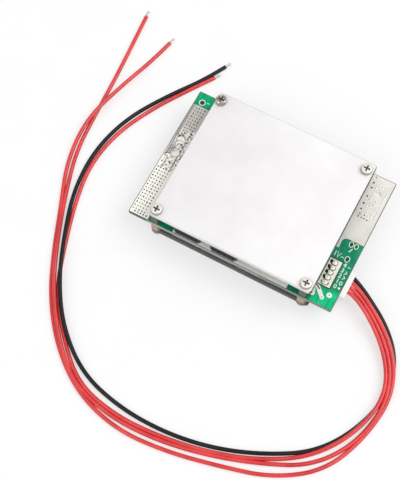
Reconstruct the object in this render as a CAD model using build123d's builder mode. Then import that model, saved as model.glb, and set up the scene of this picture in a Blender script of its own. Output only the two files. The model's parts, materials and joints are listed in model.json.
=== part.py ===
from build123d import *
import math
import os

os.makedirs("parts", exist_ok=True)

# A battery management board: a power circuit board held between two aluminium
# plates by hexagonal standoffs. All sizes are in millimetres.
# X runs along the board to its connector end, Y to its back edge, Z up.
# The origin lies under the middle of the board, on the surface it rests on.

# Circuit board
board_length = 79.0
board_width = 54.0
board_thickness = 1.6
board_corner = 0.4
terminal_hole_diameter = 3.0
left_terminal_x = 3.85
left_terminal_y = 27.5
right_terminal_right_inset = 4.35
right_terminal_back_inset = 7.15

# Heat-spreading plates, set in from the board's ends and long edges
plate_thickness = 2.0
plate_corner = 1.2
plate_edge_round = 0.25
plate_left_inset = 8.25
plate_right_inset = 8.45
upper_plate_front_inset = 0.12
upper_plate_back_inset = 0.08
lower_plate_front_inset = 0.55
lower_plate_back_inset = 0.35

# Screws and standoffs
screw_diameter = 2.5
screw_hole_clearance = 0.1
thread_clearance = 0.05
head_diameter = 4.2
head_height = 1.6
head_edge_round = 0.75
cross_span = 2.5
cross_width = 0.62
cross_depth = 1.0
upper_screw_bite = 3.2
lower_screw_bite = 2.2
standoff_across_flats = 4.2
standoff_corner_chamfer = 0.33
upper_standoff_height = 5.0
lower_standoff_height = 5.0
standoff_bore_depth = 3.9
standoff_stud_bite = 2.2
screw_front_inset = 2.25
screw_back_inset = 3.5
screw_left_inset = 10.2
screw_right_inset = 11.3

# Tinned copper lands, which stand proud of the board's faces
land_thickness = 0.1
land_edge_margin = 0.25
left_land_length = 7.3
left_land_back_inset = 6.75
right_land_length = 8.5
right_land_front_inset = 26.85
right_land_chamfer = 1.2
land_tail_width = 0.9
land_tail_reach = 4.45
bus_left_gap = 7.2
bus_right_gap = 5.9
bus_depth = 11.6
source_land_gap = 0.3
source_land_depth = 3.0
trace_width = 1.5
trace_start = (9.3, 5.6)
trace_end = (8.45, 3.0)
bent_trace_start = (9.6, 6.6)
bent_trace_bend = (7.8, 6.0)
bent_trace_end = (4.95, 3.05)
round_land_place = (3.0, 4.95)
round_land_diameter = 1.9

# Power packages in rows along the board's long edges, tabs outwards. The shares
# are of the length between the standoffs.
package_width = 10.0
package_depth = 9.2
package_height = 4.4
package_edge_bevel = 0.3
package_pitch_share = 0.2452
package_first_share = 0.2203
package_edge_inset = 0.85
row_packages = 3
upper_front_packages = 2
tab_thickness = 1.27
tab_width = 8.6
tab_inner_depth = 7.4
tab_reach = 0.55
lead_width = 0.8
lead_thickness = 0.5
lead_spread = 2.54
lead_height = 2.2
lead_reach = 4.6
lead_shoulder = 1.3
lead_foot = 2.2
thermal_pad_margin = 1.0

# Small parts between the rows, placed from the board's middle and spread over
# the width between the source lands
chip_length = 10.0
chip_width = 3.9
chip_height = 1.5
chip_bevel = 0.3
chip_pin_pitch = 1.27
chip_side_pins = 8
chip_pin_width = 0.42
chip_pin_thickness = 0.25
chip_pin_level = 0.6
chip_pin_reach = 1.05
chip_pin_foot = 0.6
chip_x = -2.0
shunt_length = 6.4
shunt_width = 3.2
shunt_height = 1.0
shunt_arch = 0.35
shunt_foot = 1.3
shunt_pitch = 8.0
shunt_count = 4
resistor_length = 6.4
resistor_width = 3.2
resistor_height = 0.6
resistor_count = 4
small_part_gap = 0.5
resistor_x = -17.0
switch_length = 2.9
switch_width = 1.3
switch_height = 1.0
switch_x = 10.0
filter_length = 2.0
filter_width = 1.25
filter_height = 0.8
filter_x = 15.0
small_part_bevel = 0.1

# Side-entry header on the underside, its plug and the leads
header_positions = 5
lead_count = 4
pin_pitch = 2.0
header_end_wall = 1.95
header_depth = 7.6
header_height = 4.8
header_wall = 0.6
header_back_wall = 1.6
header_slot_width = 0.7
header_slot_depth = 1.35
header_key_width = 1.2
header_key_depth = 3.4
header_row_y = 12.47
pin_row_inset = 6.58
pin_size = 0.5
pin_proud = 1.0
pin_bevel = 0.2
pin_hole_diameter = 0.9
pin_length = 5.3
solder_length = 2.3
solder_width = 1.7
solder_height = 0.8
solder_shoulder = 0.5
plug_clearance = 0.1
plug_tip_gap = 0.4
plug_reach = 1.8
contact_size = 1.1
contact_length = 4.2
contact_clearance = 0.05
wire_diameter = 1.5
wire_socket_depth = 1.6
wire_socket_clearance = 0.05
strand_diameter = 0.9
strand_length = 2.4

# Levels, from the surface up
lower_plate_bottom = head_height
lower_plate_top = lower_plate_bottom + plate_thickness
board_bottom = lower_plate_top + lower_standoff_height
board_top = board_bottom + board_thickness
upper_plate_bottom = board_top + upper_standoff_height
upper_plate_top = upper_plate_bottom + plate_thickness
pin_level = board_bottom - header_height / 2

# Edges of the board, and places that several pieces share
left = -board_length / 2
right = board_length / 2
front = -board_width / 2
back = board_width / 2
screw_places = [
    (left + screw_left_inset, front + screw_front_inset),
    (right - screw_right_inset, front + screw_front_inset),
    (left + screw_left_inset, back - screw_back_inset),
    (right - screw_right_inset, back - screw_back_inset),
]
screw_span = board_length - screw_left_inset - screw_right_inset
left_terminal = (left + left_terminal_x, front + left_terminal_y)
right_terminal = (right - right_terminal_right_inset, back - right_terminal_back_inset)
pin_x = right - pin_row_inset
header_y = front + header_row_y
pin_rows = [
    header_y + pin_pitch * ((header_positions - 1) / 2 - i) for i in range(header_positions)
]
lead_rows = pin_rows[:lead_count]
screw_hole_radius = screw_diameter / 2 + screw_hole_clearance
bore_radius = screw_diameter / 2 + thread_clearance
terminal_radius = terminal_hole_diameter / 2


def write(piece, name):
    piece.part.label = name
    export_step(piece.part, f"parts/{name}.step")


def from_front_right(place):
    # A place measured from the board's right end and front edge
    return (right - place[0], front + place[1])


def face_plane(face, height=0.0):
    # The board's upper face (1) or lower face (-1), with its normal outwards
    level = board_top + height if face > 0 else board_bottom - height
    return Plane(origin=(0, 0, level), x_dir=(1, 0, 0), z_dir=(0, 0, face))


def profile_plane(x, y, face, inwards, height=0.0):
    # An upright plane across a lead: X runs inwards along Y, Y runs off the face
    level = board_top + height if face > 0 else board_bottom - height
    return Plane(origin=(x, y, level), x_dir=(0, inwards, 0), z_dir=(inwards * face, 0, 0))


# Circuit board with its terminal, standoff and header pin holes
with BuildPart() as circuit_board:
    with BuildSketch(Plane.XY.offset(board_bottom)):
        RectangleRounded(board_length, board_width, board_corner)
        with Locations(left_terminal, right_terminal):
            Circle(terminal_radius, mode=Mode.SUBTRACT)
        with Locations(*screw_places):
            Circle(screw_hole_radius, mode=Mode.SUBTRACT)
        with Locations(*[(pin_x, y) for y in pin_rows]):
            Circle(pin_hole_diameter / 2, mode=Mode.SUBTRACT)
    extrude(amount=board_thickness)
write(circuit_board, "circuit_board")


# Tinned lands at the left end, on both faces
left_land_x = left + land_edge_margin + left_land_length / 2
left_land_width = board_width - land_edge_margin - left_land_back_inset
left_land_y = front + land_edge_margin + left_land_width / 2
with BuildPart() as left_terminal_lands:
    for face in (1, -1):
        with BuildSketch(face_plane(face)):
            with Locations((left_land_x, face * left_land_y)):
                Rectangle(left_land_length, left_land_width)
            with Locations((left_terminal[0], face * left_terminal[1])):
                Circle(terminal_radius, mode=Mode.SUBTRACT)
        extrude(amount=land_thickness)
write(left_terminal_lands, "left_terminal_lands")


# Tinned lands at the right end, on both faces. The upper one has a narrow tail that
# runs forward along the plate's edge
right_land_x = right - land_edge_margin - right_land_length / 2
right_land_width = board_width - right_land_front_inset - land_edge_margin
right_land_y = back - land_edge_margin - right_land_width / 2
tail_x = right_land_x - right_land_length / 2 + land_tail_width / 2
tail_y = front + right_land_front_inset + (right_land_chamfer - land_tail_reach) / 2
with BuildPart() as right_terminal_lands:
    for face in (1, -1):
        with BuildSketch(face_plane(face)) as land_outline:
            with Locations((right_land_x, face * right_land_y)):
                Rectangle(right_land_length, right_land_width)
            left_corners = land_outline.vertices().group_by(Axis.X)[0]
            front_corner = left_corners.sort_by(Axis.Y)[0 if face > 0 else -1]
            chamfer(front_corner, right_land_chamfer)
            if face > 0:
                with Locations((tail_x, tail_y)):
                    Rectangle(land_tail_width, land_tail_reach + right_land_chamfer)
            with Locations((right_terminal[0], face * right_terminal[1])):
                Circle(terminal_radius, mode=Mode.SUBTRACT)
        extrude(amount=land_thickness)
write(right_terminal_lands, "right_terminal_lands")


# Tinned bus lands under the packages' tabs and under their leads' feet
bus_length = screw_span - bus_left_gap - bus_right_gap
bus_x = left + screw_left_inset + bus_left_gap + bus_length / 2
bus_middle = board_width / 2 - land_edge_margin - bus_depth / 2
source_edge = package_edge_inset + package_depth + lead_reach - lead_foot - source_land_gap
source_middle = board_width / 2 - source_edge - source_land_depth / 2
for face, name in ((1, "upper_bus_lands"), (-1, "lower_bus_lands")):
    with BuildPart() as bus_lands:
        with BuildSketch(face_plane(face)):
            with Locations((bus_x, bus_middle), (bus_x, -bus_middle)):
                Rectangle(bus_length, bus_depth)
            with Locations((bus_x, source_middle), (bus_x, -source_middle)):
                Rectangle(bus_length, source_land_depth)
        extrude(amount=land_thickness)
    write(bus_lands, name)


# Two bare tinned traces and a round land beside the header's joints
with BuildPart() as corner_traces:
    with BuildSketch(face_plane(1)):
        with BuildLine():
            Line(from_front_right(trace_start), from_front_right(trace_end))
            Line(from_front_right(bent_trace_start), from_front_right(bent_trace_bend))
            Line(from_front_right(bent_trace_bend), from_front_right(bent_trace_end))
        trace(line_width=trace_width)
        with Locations(from_front_right(trace_end), from_front_right(bent_trace_end)):
            Circle(trace_width / 2)
        with Locations(from_front_right(round_land_place)):
            Circle(round_land_diameter / 2)
    extrude(amount=land_thickness)
write(corner_traces, "corner_traces")


# The two aluminium plates, with clearance holes for the screws
def plate(level, front_inset, back_inset):
    plate_length = board_length - plate_left_inset - plate_right_inset
    plate_width = board_width - front_inset - back_inset
    middle = (left + plate_left_inset + plate_length / 2, front + front_inset + plate_width / 2)
    with BuildPart() as sheet:
        with BuildSketch(Plane.XY.offset(level)):
            with Locations(middle):
                RectangleRounded(plate_length, plate_width, plate_corner)
        extrude(amount=plate_thickness)
        chamfer(faces().filter_by(Axis.Z).edges(), plate_edge_round)
        with BuildSketch(Plane.XY.offset(level)):
            with Locations(*screw_places):
                Circle(screw_hole_radius)
        extrude(amount=plate_thickness, mode=Mode.SUBTRACT)
    return sheet


upper_plate = plate(upper_plate_bottom, upper_plate_front_inset, upper_plate_back_inset)
lower_plate = plate(lower_plate_bottom, lower_plate_front_inset, lower_plate_back_inset)
write(upper_plate, "upper_plate")
write(lower_plate, "lower_plate")


# Hexagonal bars whose six corners are turned down at both ends
def hexagon_bars(level, height):
    corner_radius = standoff_across_flats / 2 / math.cos(math.radians(30))
    with BuildPart() as bars:
        with BuildSketch(Plane.XY.offset(level)):
            with Locations(*screw_places):
                Circle(corner_radius)
        extrude(amount=height)
        chamfer(edges().filter_by(GeomType.CIRCLE), standoff_corner_chamfer)
        with BuildSketch(Plane.XY.offset(level)):
            with Locations(*screw_places):
                RegularPolygon(standoff_across_flats / 2, 6, major_radius=False)
        extrude(amount=height, mode=Mode.INTERSECT)
    return bars.part


# Hexagonal standoffs: the upper ones have a stud that goes through the board
with BuildPart() as upper_standoffs:
    add(hexagon_bars(board_top, upper_standoff_height))
    with BuildSketch(Plane.XY.offset(upper_plate_bottom)):
        with Locations(*screw_places):
            Circle(bore_radius)
    extrude(amount=-standoff_bore_depth, mode=Mode.SUBTRACT)
    with BuildSketch(Plane.XY.offset(board_top)):
        with Locations(*screw_places):
            Circle(screw_diameter / 2)
    extrude(amount=-board_thickness - standoff_stud_bite)
write(upper_standoffs, "upper_standoffs")

with BuildPart() as lower_standoffs:
    add(hexagon_bars(lower_plate_top, lower_standoff_height))
    with BuildSketch(Plane.XY.offset(lower_plate_top)):
        with Locations(*screw_places):
            Circle(bore_radius)
    extrude(amount=lower_standoff_height, mode=Mode.SUBTRACT)
write(lower_standoffs, "lower_standoffs")


# Pan-head screws with a cross recess, driven towards the board from both sides
def pan_head_screws(level, outwards, bite):
    seat = Plane(origin=(0, 0, level), x_dir=(1, 0, 0), z_dir=(0, 0, outwards))
    with BuildPart() as screw:
        with BuildSketch(seat):
            Circle(head_diameter / 2)
        extrude(amount=head_height)
        fillet(faces().sort_by(Axis.Z)[-1 if outwards > 0 else 0].edges(), head_edge_round)
        with BuildSketch(seat.offset(head_height)):
            Rectangle(cross_span, cross_width)
            Rectangle(cross_width, cross_span)
        extrude(amount=-cross_depth, taper=12, mode=Mode.SUBTRACT)
        with BuildSketch(seat):
            Circle(screw_diameter / 2)
        extrude(amount=-plate_thickness - bite)
    with BuildPart() as screws:
        with Locations(*screw_places):
            add(screw.part)
    return screws


write(pan_head_screws(upper_plate_top, 1, upper_screw_bite), "upper_screws")
write(pan_head_screws(lower_plate_bottom, -1, lower_screw_bite), "lower_screws")


# Power packages: each row stands on the tinned lands with its tabs at the edge
package_first_x = left + screw_left_inset + package_first_share * screw_span
package_pitch = package_pitch_share * screw_span


def row_places(face, side):
    count = upper_front_packages if (face > 0 and side < 0) else row_packages
    outer_y = side * (board_width / 2 - package_edge_inset)
    return [(package_first_x + package_pitch * i, outer_y) for i in range(count)]


def package_bodies(face):
    seat = face_plane(face, land_thickness)
    with BuildPart() as bodies:
        with BuildSketch(seat):
            for side in (-1, 1):
                for x, outer_y in row_places(face, side):
                    with Locations((x, face * (outer_y - side * package_depth / 2))):
                        Rectangle(package_width, package_depth)
        extrude(amount=package_height)
        tops = faces().filter_by(Axis.Z).group_by(Axis.Z)[-1 if face > 0 else 0]
        chamfer(tops.edges(), package_edge_bevel)
        with BuildSketch(seat):
            for side in (-1, 1):
                for x, outer_y in row_places(face, side):
                    with Locations((x, face * (outer_y - side * tab_inner_depth / 2))):
                        Rectangle(tab_width, tab_inner_depth)
        extrude(amount=tab_thickness, mode=Mode.SUBTRACT)
    return bodies


def package_tabs(face):
    tab_depth = tab_inner_depth + tab_reach
    with BuildPart() as tabs:
        with BuildSketch(face_plane(face, land_thickness)):
            for side in (-1, 1):
                for x, outer_y in row_places(face, side):
                    with Locations((x, face * (outer_y + side * (tab_reach - tab_depth / 2)))):
                        Rectangle(tab_width, tab_depth)
        extrude(amount=tab_thickness)
    return tabs


foot_start = lead_reach - lead_foot
lead_outline = [
    (0, lead_height),
    (0, lead_height + lead_thickness),
    (lead_shoulder, lead_height + lead_thickness),
    (foot_start + lead_thickness / 4, lead_thickness),
    (lead_reach, lead_thickness),
    (lead_reach, 0),
    (foot_start - lead_thickness / 4, 0),
    (lead_shoulder - lead_thickness / 2, lead_height),
]
stub_outline = [
    (0, lead_height),
    (0, lead_height + lead_thickness),
    (lead_shoulder, lead_height + lead_thickness),
    (lead_shoulder, lead_height),
]


def package_leads(face):
    shapes = ((-lead_spread, lead_outline), (0, stub_outline), (lead_spread, lead_outline))
    with BuildPart() as leads:
        for side in (-1, 1):
            for x, outer_y in row_places(face, side):
                inner_y = outer_y - side * package_depth
                for shift, outline in shapes:
                    cut = profile_plane(x + shift, inner_y, face, -side, land_thickness)
                    with BuildSketch(cut):
                        Polygon(*outline, align=None)
                    extrude(amount=lead_width / 2, both=True)
    return leads


# The silicone pads fill what is left between the packages and each plate
pad_depth = package_depth - 2 * package_edge_bevel
pad_middle = board_width / 2 - package_edge_inset - package_depth / 2
pad_length = package_pitch * (row_packages - 1) + package_width + 2 * thermal_pad_margin
pad_x = package_first_x + package_pitch * (row_packages - 1) / 2
package_top = land_thickness + package_height
for face, side_name, standoff_height in (
    (1, "upper", upper_standoff_height),
    (-1, "lower", lower_standoff_height),
):
    write(package_bodies(face), f"{side_name}_package_bodies")
    write(package_tabs(face), f"{side_name}_package_tabs")
    write(package_leads(face), f"{side_name}_package_leads")
    with BuildPart() as thermal_pads:
        with BuildSketch(face_plane(face, package_top)):
            with Locations((pad_x, pad_middle), (pad_x, -pad_middle)):
                Rectangle(pad_length, pad_depth)
        extrude(amount=standoff_height - package_top)
    write(thermal_pads, f"{side_name}_thermal_pads")


# Protection chip and its pins, on the upper face
with BuildPart() as protection_chip:
    with BuildSketch(face_plane(1, chip_pin_thickness / 2)):
        with Locations((chip_x, 0)):
            Rectangle(chip_length, chip_width)
    extrude(amount=chip_height)
    chamfer(faces().sort_by(Axis.Z)[-1].edges(), chip_bevel)
write(protection_chip, "protection_chip")

chip_pin_outline = [
    (0, chip_pin_level),
    (0, chip_pin_level + chip_pin_thickness),
    (chip_pin_reach - chip_pin_foot + chip_pin_thickness / 2, chip_pin_level + chip_pin_thickness),
    (chip_pin_reach - chip_pin_foot + chip_pin_thickness, chip_pin_thickness),
    (chip_pin_reach, chip_pin_thickness),
    (chip_pin_reach, 0),
    (chip_pin_reach - chip_pin_foot, 0),
    (chip_pin_reach - chip_pin_foot - chip_pin_thickness / 2, chip_pin_level),
]
with BuildPart() as chip_pins:
    for outwards in (-1, 1):
        for i in range(chip_side_pins):
            x = chip_x + chip_pin_pitch * (i - (chip_side_pins - 1) / 2)
            with BuildSketch(profile_plane(x, outwards * chip_width / 2, 1, outwards)):
                Polygon(*chip_pin_outline, align=None)
            extrude(amount=chip_pin_width / 2, both=True)
write(chip_pins, "chip_pins")


# Balance resistors, balance switches and filter capacitors, on the upper face
small_part_reach = source_middle - source_land_depth / 2 - small_part_gap - resistor_width / 2
small_part_pitch = 2 * small_part_reach / (resistor_count - 1)
small_part_rows = [small_part_pitch * i - small_part_reach for i in range(resistor_count)]


def chip_row(x, length, width, height):
    with BuildPart() as row:
        with BuildSketch(face_plane(1)):
            with Locations(*[(x, y) for y in small_part_rows]):
                Rectangle(length, width)
        extrude(amount=height)
        chamfer(faces().filter_by(Axis.Z).group_by(Axis.Z)[-1].edges(), small_part_bevel)
    return row


resistors = chip_row(resistor_x, resistor_length, resistor_width, resistor_height)
write(resistors, "balance_resistors")
write(chip_row(switch_x, switch_width, switch_length, switch_height), "balance_switches")
write(chip_row(filter_x, filter_length, filter_width, filter_height), "filter_capacitors")


# Arched metal current shunts, on the lower face
shunt_outline = [
    (-shunt_length / 2, 0),
    (-shunt_length / 2, shunt_height),
    (shunt_length / 2, shunt_height),
    (shunt_length / 2, 0),
    (shunt_length / 2 - shunt_foot, 0),
    (shunt_length / 2 - shunt_foot, shunt_arch),
    (-shunt_length / 2 + shunt_foot, shunt_arch),
    (-shunt_length / 2 + shunt_foot, 0),
]
with BuildPart() as current_shunts:
    for i in range(shunt_count):
        x = shunt_pitch * (i - (shunt_count - 1) / 2)
        with BuildSketch(profile_plane(x, 0, -1, 1)):
            Polygon(*shunt_outline, align=None)
        extrude(amount=shunt_width / 2, both=True)
write(current_shunts, "current_shunts")


# Header housing: a moulded shell that opens at the board's right edge
header_back = right - header_depth
header_width = pin_pitch * (header_positions - 1) + 2 * header_end_wall
header_bottom = board_bottom - header_height
cavity_width = header_width - 2 * header_wall
cavity_height = header_height - 2 * header_wall
cavity_floor = header_back + header_back_wall
with BuildPart() as header_housing:
    with BuildSketch(Plane.XY.offset(header_bottom)):
        with Locations((header_back + header_depth / 2, header_y)):
            Rectangle(header_depth, header_width)
    extrude(amount=header_height)
    fillet(edges().filter_by(Axis.Z).group_by(Axis.X)[0], 0.3)
    with BuildSketch(Plane(origin=(right, header_y, pin_level), x_dir=(0, 1, 0), z_dir=(1, 0, 0))):
        Rectangle(cavity_width, cavity_height)
    extrude(amount=cavity_floor - right, mode=Mode.SUBTRACT)
    # Key slots in the wall away from the board, open at the mouth
    with BuildSketch(Plane.XY.offset(header_bottom)):
        for side in (-1, 1):
            key_y = header_y + side * (cavity_width / 2 - header_key_width)
            with Locations((right - header_key_depth / 2, key_y)):
                Rectangle(header_key_depth, header_key_width)
    extrude(amount=header_wall, mode=Mode.SUBTRACT)
    # A slot for each pin's leg, and its square hole through the back wall
    for y in pin_rows:
        with BuildSketch(Plane.XY.offset(board_bottom)):
            with Locations((header_back + header_slot_depth / 2, y)):
                Rectangle(header_slot_depth, header_slot_width)
        extrude(amount=-(header_height + pin_size) / 2, mode=Mode.SUBTRACT)
        with BuildSketch(Plane(origin=(header_back, y, pin_level), x_dir=(0, 1, 0), z_dir=(1, 0, 0))):
            Rectangle(pin_size, pin_size)
        extrude(amount=header_back_wall, mode=Mode.SUBTRACT)
write(header_housing, "header_housing")


# Bent square pins, up through the board and along the housing
half_pin = pin_size / 2
pin_tip = pin_x + pin_length
pin_outline = [
    (pin_x - half_pin, board_top + pin_proud),
    (pin_x + half_pin, board_top + pin_proud),
    (pin_x + half_pin, pin_level + half_pin),
    (pin_tip, pin_level + half_pin),
    (pin_tip, pin_level - half_pin),
    (pin_x - half_pin + pin_bevel, pin_level - half_pin),
    (pin_x - half_pin, pin_level - half_pin + pin_bevel),
]
with BuildPart() as header_pins:
    for y in pin_rows:
        with BuildSketch(Plane.XZ.offset(-y)):
            Polygon(*pin_outline, align=None)
        extrude(amount=half_pin, both=True)
write(header_pins, "header_pins")

# Oval domes of solder round the pins' ends
with BuildPart() as solder_joints:
    with BuildSketch(Plane.XY.offset(board_top)):
        with Locations(*[(pin_x, y) for y in pin_rows]):
            Ellipse(solder_length / 2, solder_width / 2)
    extrude(amount=solder_height)
    fillet(faces().filter_by(Axis.Z).group_by(Axis.Z)[-1].edges(), solder_shoulder)
    with BuildSketch(Plane.XY.offset(board_top)):
        with Locations(*[(pin_x, y) for y in pin_rows]):
            Rectangle(pin_size, pin_size)
    extrude(amount=pin_proud, mode=Mode.SUBTRACT)
write(solder_joints, "solder_joints")


# Plug housing with a passage for each contact and a round socket for each wire
plug_tip = cavity_floor + plug_tip_gap
plug_rear = right + plug_reach
wire_start = plug_rear - wire_socket_depth
plug_width = cavity_width - 2 * plug_clearance
plug_height = cavity_height - 2 * plug_clearance
passage = contact_size + 2 * contact_clearance
plug_plane = Plane(origin=(plug_tip, header_y, pin_level), x_dir=(0, 1, 0), z_dir=(1, 0, 0))
socket_spots = [(y - header_y, 0) for y in pin_rows]
with BuildPart() as plug_housing:
    with BuildSketch(plug_plane):
        Rectangle(plug_width, plug_height)
    extrude(amount=plug_rear - plug_tip)
    chamfer(edges().filter_by(Axis.X), 0.2)
    with BuildSketch(plug_plane):
        with Locations(*socket_spots):
            Rectangle(passage, passage)
    extrude(amount=wire_start - plug_tip, mode=Mode.SUBTRACT)
    with BuildSketch(plug_plane.offset(wire_start - plug_tip)):
        with Locations(*socket_spots):
            Circle(wire_diameter / 2 + wire_socket_clearance)
    extrude(amount=wire_socket_depth, mode=Mode.SUBTRACT)
write(plug_housing, "plug_housing")

contact_plane = plug_plane.offset(wire_start - contact_length - plug_tip)
contact_spots = [(y - header_y, 0) for y in lead_rows]
with BuildPart() as plug_contacts:
    with BuildSketch(contact_plane):
        with Locations(*contact_spots):
            Rectangle(contact_size, contact_size)
    extrude(amount=contact_length)
    with BuildSketch(contact_plane):
        with Locations(*contact_spots):
            Rectangle(pin_size + 2 * contact_clearance, pin_size + 2 * contact_clearance)
    bore_depth = pin_tip - (wire_start - contact_length) + contact_clearance
    extrude(amount=bore_depth, mode=Mode.SUBTRACT)
write(plug_contacts, "plug_contacts")


# The four leads lie loose on the surface in one long loop round the board. Each
# route is a list of chosen points. It starts inside the plug, and rises where
# one lead lies over another.
on_surface = wire_diameter / 2
black_route = [
    (wire_start, lead_rows[0], pin_level),
    (49.0, lead_rows[0], pin_level),
    (62.5, -21.8, on_surface),
    (69.7, -37.7, on_surface),
    (65.9, -55.3, on_surface),
    (55.8, -69.7, on_surface),
    (41.5, -79.7, on_surface),
    (25.1, -85.8, on_surface),
    (7.9, -88.7, on_surface),
    (-9.6, -88.4, on_surface),
    (-26.3, -83.2, on_surface),
    (-40.2, -72.4, 2.0),
    (-50.6, -58.5, 2.4),
    (-58.2, -42.8, 2.4),
    (-63.5, -26.2, on_surface),
    (-64.9, -8.8, on_surface),
    (-61.1, 8.2, on_surface),
    (-52.7, 23.9, on_surface),
    (-43.2, 37.8, on_surface),
    (-38.3, 45.3, on_surface),
]
first_red_route = [
    (wire_start, lead_rows[1], pin_level),
    (49.0, lead_rows[1], pin_level),
    (63.2, -24.3, 3.0),
    (72.0, -40.1, 1.8),
    (70.0, -58.5, on_surface),
    (61.6, -74.8, on_surface),
    (46.7, -85.0, on_surface),
    (29.3, -90.2, on_surface),
    (11.8, -94.1, on_surface),
    (-6.3, -95.4, on_surface),
    (-24.0, -91.7, on_surface),
    (-38.6, -80.7, on_surface),
    (-49.8, -66.3, on_surface),
    (-58.5, -50.6, on_surface),
    (-65.0, -33.9, on_surface),
    (-71.9, -17.1, on_surface),
    (-73.0, 0.7, 2.4),
    (-68.4, 18.8, 2.4),
    (-63.8, 35.0, on_surface),
    (-61.7, 44.5, on_surface),
]
second_red_route = [
    (wire_start, lead_rows[2], pin_level),
    (49.0, lead_rows[2], pin_level),
    (62.8, -26.2, 2.9),
    (70.4, -42.3, 2.4),
    (67.4, -60.4, on_surface),
    (56.8, -74.9, on_surface),
    (41.2, -83.7, on_surface),
    (24.4, -89.5, on_surface),
    (7.0, -92.2, on_surface),
    (-11.0, -93.1, on_surface),
    (-27.8, -87.5, on_surface),
    (-41.1, -75.4, 1.8),
    (-51.6, -60.9, 2.0),
    (-59.3, -45.0, 2.0),
    (-65.4, -28.3, on_surface),
    (-70.7, -11.4, on_surface),
    (-71.6, 6.3, on_surface),
    (-72.7, 24.5, on_surface),
    (-74.3, 40.9, on_surface),
    (-75.2, 50.5, on_surface),
]
third_red_route = [
    (wire_start, lead_rows[3], pin_level),
    (48.6, lead_rows[3], pin_level),
    (61.7, -27.4, 2.9),
    (68.5, -42.8, 2.4),
    (64.7, -60.0, 2.3),
    (54.4, -73.4, on_surface),
    (39.9, -82.3, on_surface),
    (24.0, -87.8, on_surface),
    (7.3, -90.4, on_surface),
    (-9.7, -91.3, on_surface),
    (-25.8, -86.5, on_surface),
    (-38.8, -75.4, on_surface),
    (-49.6, -62.4, on_surface),
    (-55.9, -46.8, on_surface),
    (-60.3, -30.5, on_surface),
    (-63.3, -13.9, on_surface),
    (-61.2, 2.9, on_surface),
    (-53.6, 18.3, on_surface),
    (-44.5, 31.9, on_surface),
    (-39.5, 39.1, on_surface),
]
routes = {
    "black_wire": black_route,
    "red_wire_1": first_red_route,
    "red_wire_2": second_red_route,
    "red_wire_3": third_red_route,
}


def bend_radii(route):
    # Each arc takes 0.45 of the shorter run beside its corner
    corners = [Vector(*point) for point in route]
    radii = []
    for before, corner, after in zip(corners, corners[1:], corners[2:]):
        turn = math.radians((corner - before).get_angle(after - corner))
        shorter = min((corner - before).length, (after - corner).length)
        radii.append(0.45 * shorter / math.tan(turn / 2))
    return radii


for name, route in routes.items():
    radii = bend_radii(route)
    with BuildPart() as wire:
        with BuildLine():
            path = FilletPolyline(*route, radius=radii)
        with BuildSketch(Plane(origin=path @ 0, z_dir=path % 0)):
            Circle(wire_diameter / 2)
        sweep()
    write(wire, name)
    expected = math.pi * (wire_diameter / 2) ** 2 * path.length
    print(name, "length", round(path.length, 1), "volume ratio", round(wire.part.volume / expected, 4))
    print("  bend radii", [round(radius, 1) for radius in radii])
    with BuildPart() as strands:
        with BuildSketch(Plane(origin=path @ 1, z_dir=path % 1)):
            Circle(strand_diameter / 2)
        extrude(amount=strand_length)
    write(strands, name.replace("wire", "strands"))
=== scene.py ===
import json
import math
import random
from functools import partial

import bmesh
import bpy
from mathutils import Matrix, Vector, noise


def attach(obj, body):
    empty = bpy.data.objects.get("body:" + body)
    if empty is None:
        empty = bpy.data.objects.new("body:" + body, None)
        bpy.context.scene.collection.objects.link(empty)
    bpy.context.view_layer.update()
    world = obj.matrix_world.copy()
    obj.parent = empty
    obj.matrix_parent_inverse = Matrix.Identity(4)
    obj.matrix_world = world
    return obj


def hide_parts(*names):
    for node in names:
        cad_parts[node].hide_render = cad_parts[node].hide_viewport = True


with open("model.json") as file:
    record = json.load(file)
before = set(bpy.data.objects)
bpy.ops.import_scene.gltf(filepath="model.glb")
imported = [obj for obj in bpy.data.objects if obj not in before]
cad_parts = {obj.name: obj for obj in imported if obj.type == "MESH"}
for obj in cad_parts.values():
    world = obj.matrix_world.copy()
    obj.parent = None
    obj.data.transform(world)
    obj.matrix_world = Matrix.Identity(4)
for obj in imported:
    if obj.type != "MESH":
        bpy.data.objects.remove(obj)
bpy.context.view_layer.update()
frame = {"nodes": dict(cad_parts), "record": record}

# Battery management board: a green power circuit board between two aluminium plates,
# with bare tinned ends and four sense leads that lie round it in a loose loop.
# Places are in millimetres of the board's own frame.
MM = 0.001
nodes = frame["nodes"]
link_object = bpy.context.scene.collection.objects.link

BOARD_LEFT, BOARD_RIGHT, BOARD_FRONT = -39.5, 39.5, -27.0
BOARD_TOP = 10.2
BOARD_MIDDLE = 9.4
LAND_TOP = 10.3
LEFT_HOLE = (-35.65, 0.5)
RIGHT_HOLE = (35.15, 19.85)
HOLE_RADIUS = 1.5
SCREW_MIDDLE = (-0.55, -0.625, BOARD_MIDDLE)
SCREW_REACH = (28.75, 24.125, 0.0)


def linear(hex_colour):
    """An sRGB hex colour as the linear colour that a shader socket takes."""
    parts = [int(hex_colour[i:i + 2], 16) / 255 for i in (1, 3, 5)]
    parts = [c / 12.92 if c <= 0.04045 else ((c + 0.055) / 1.055) ** 2.4 for c in parts]
    return (*parts, 1.0)


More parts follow.
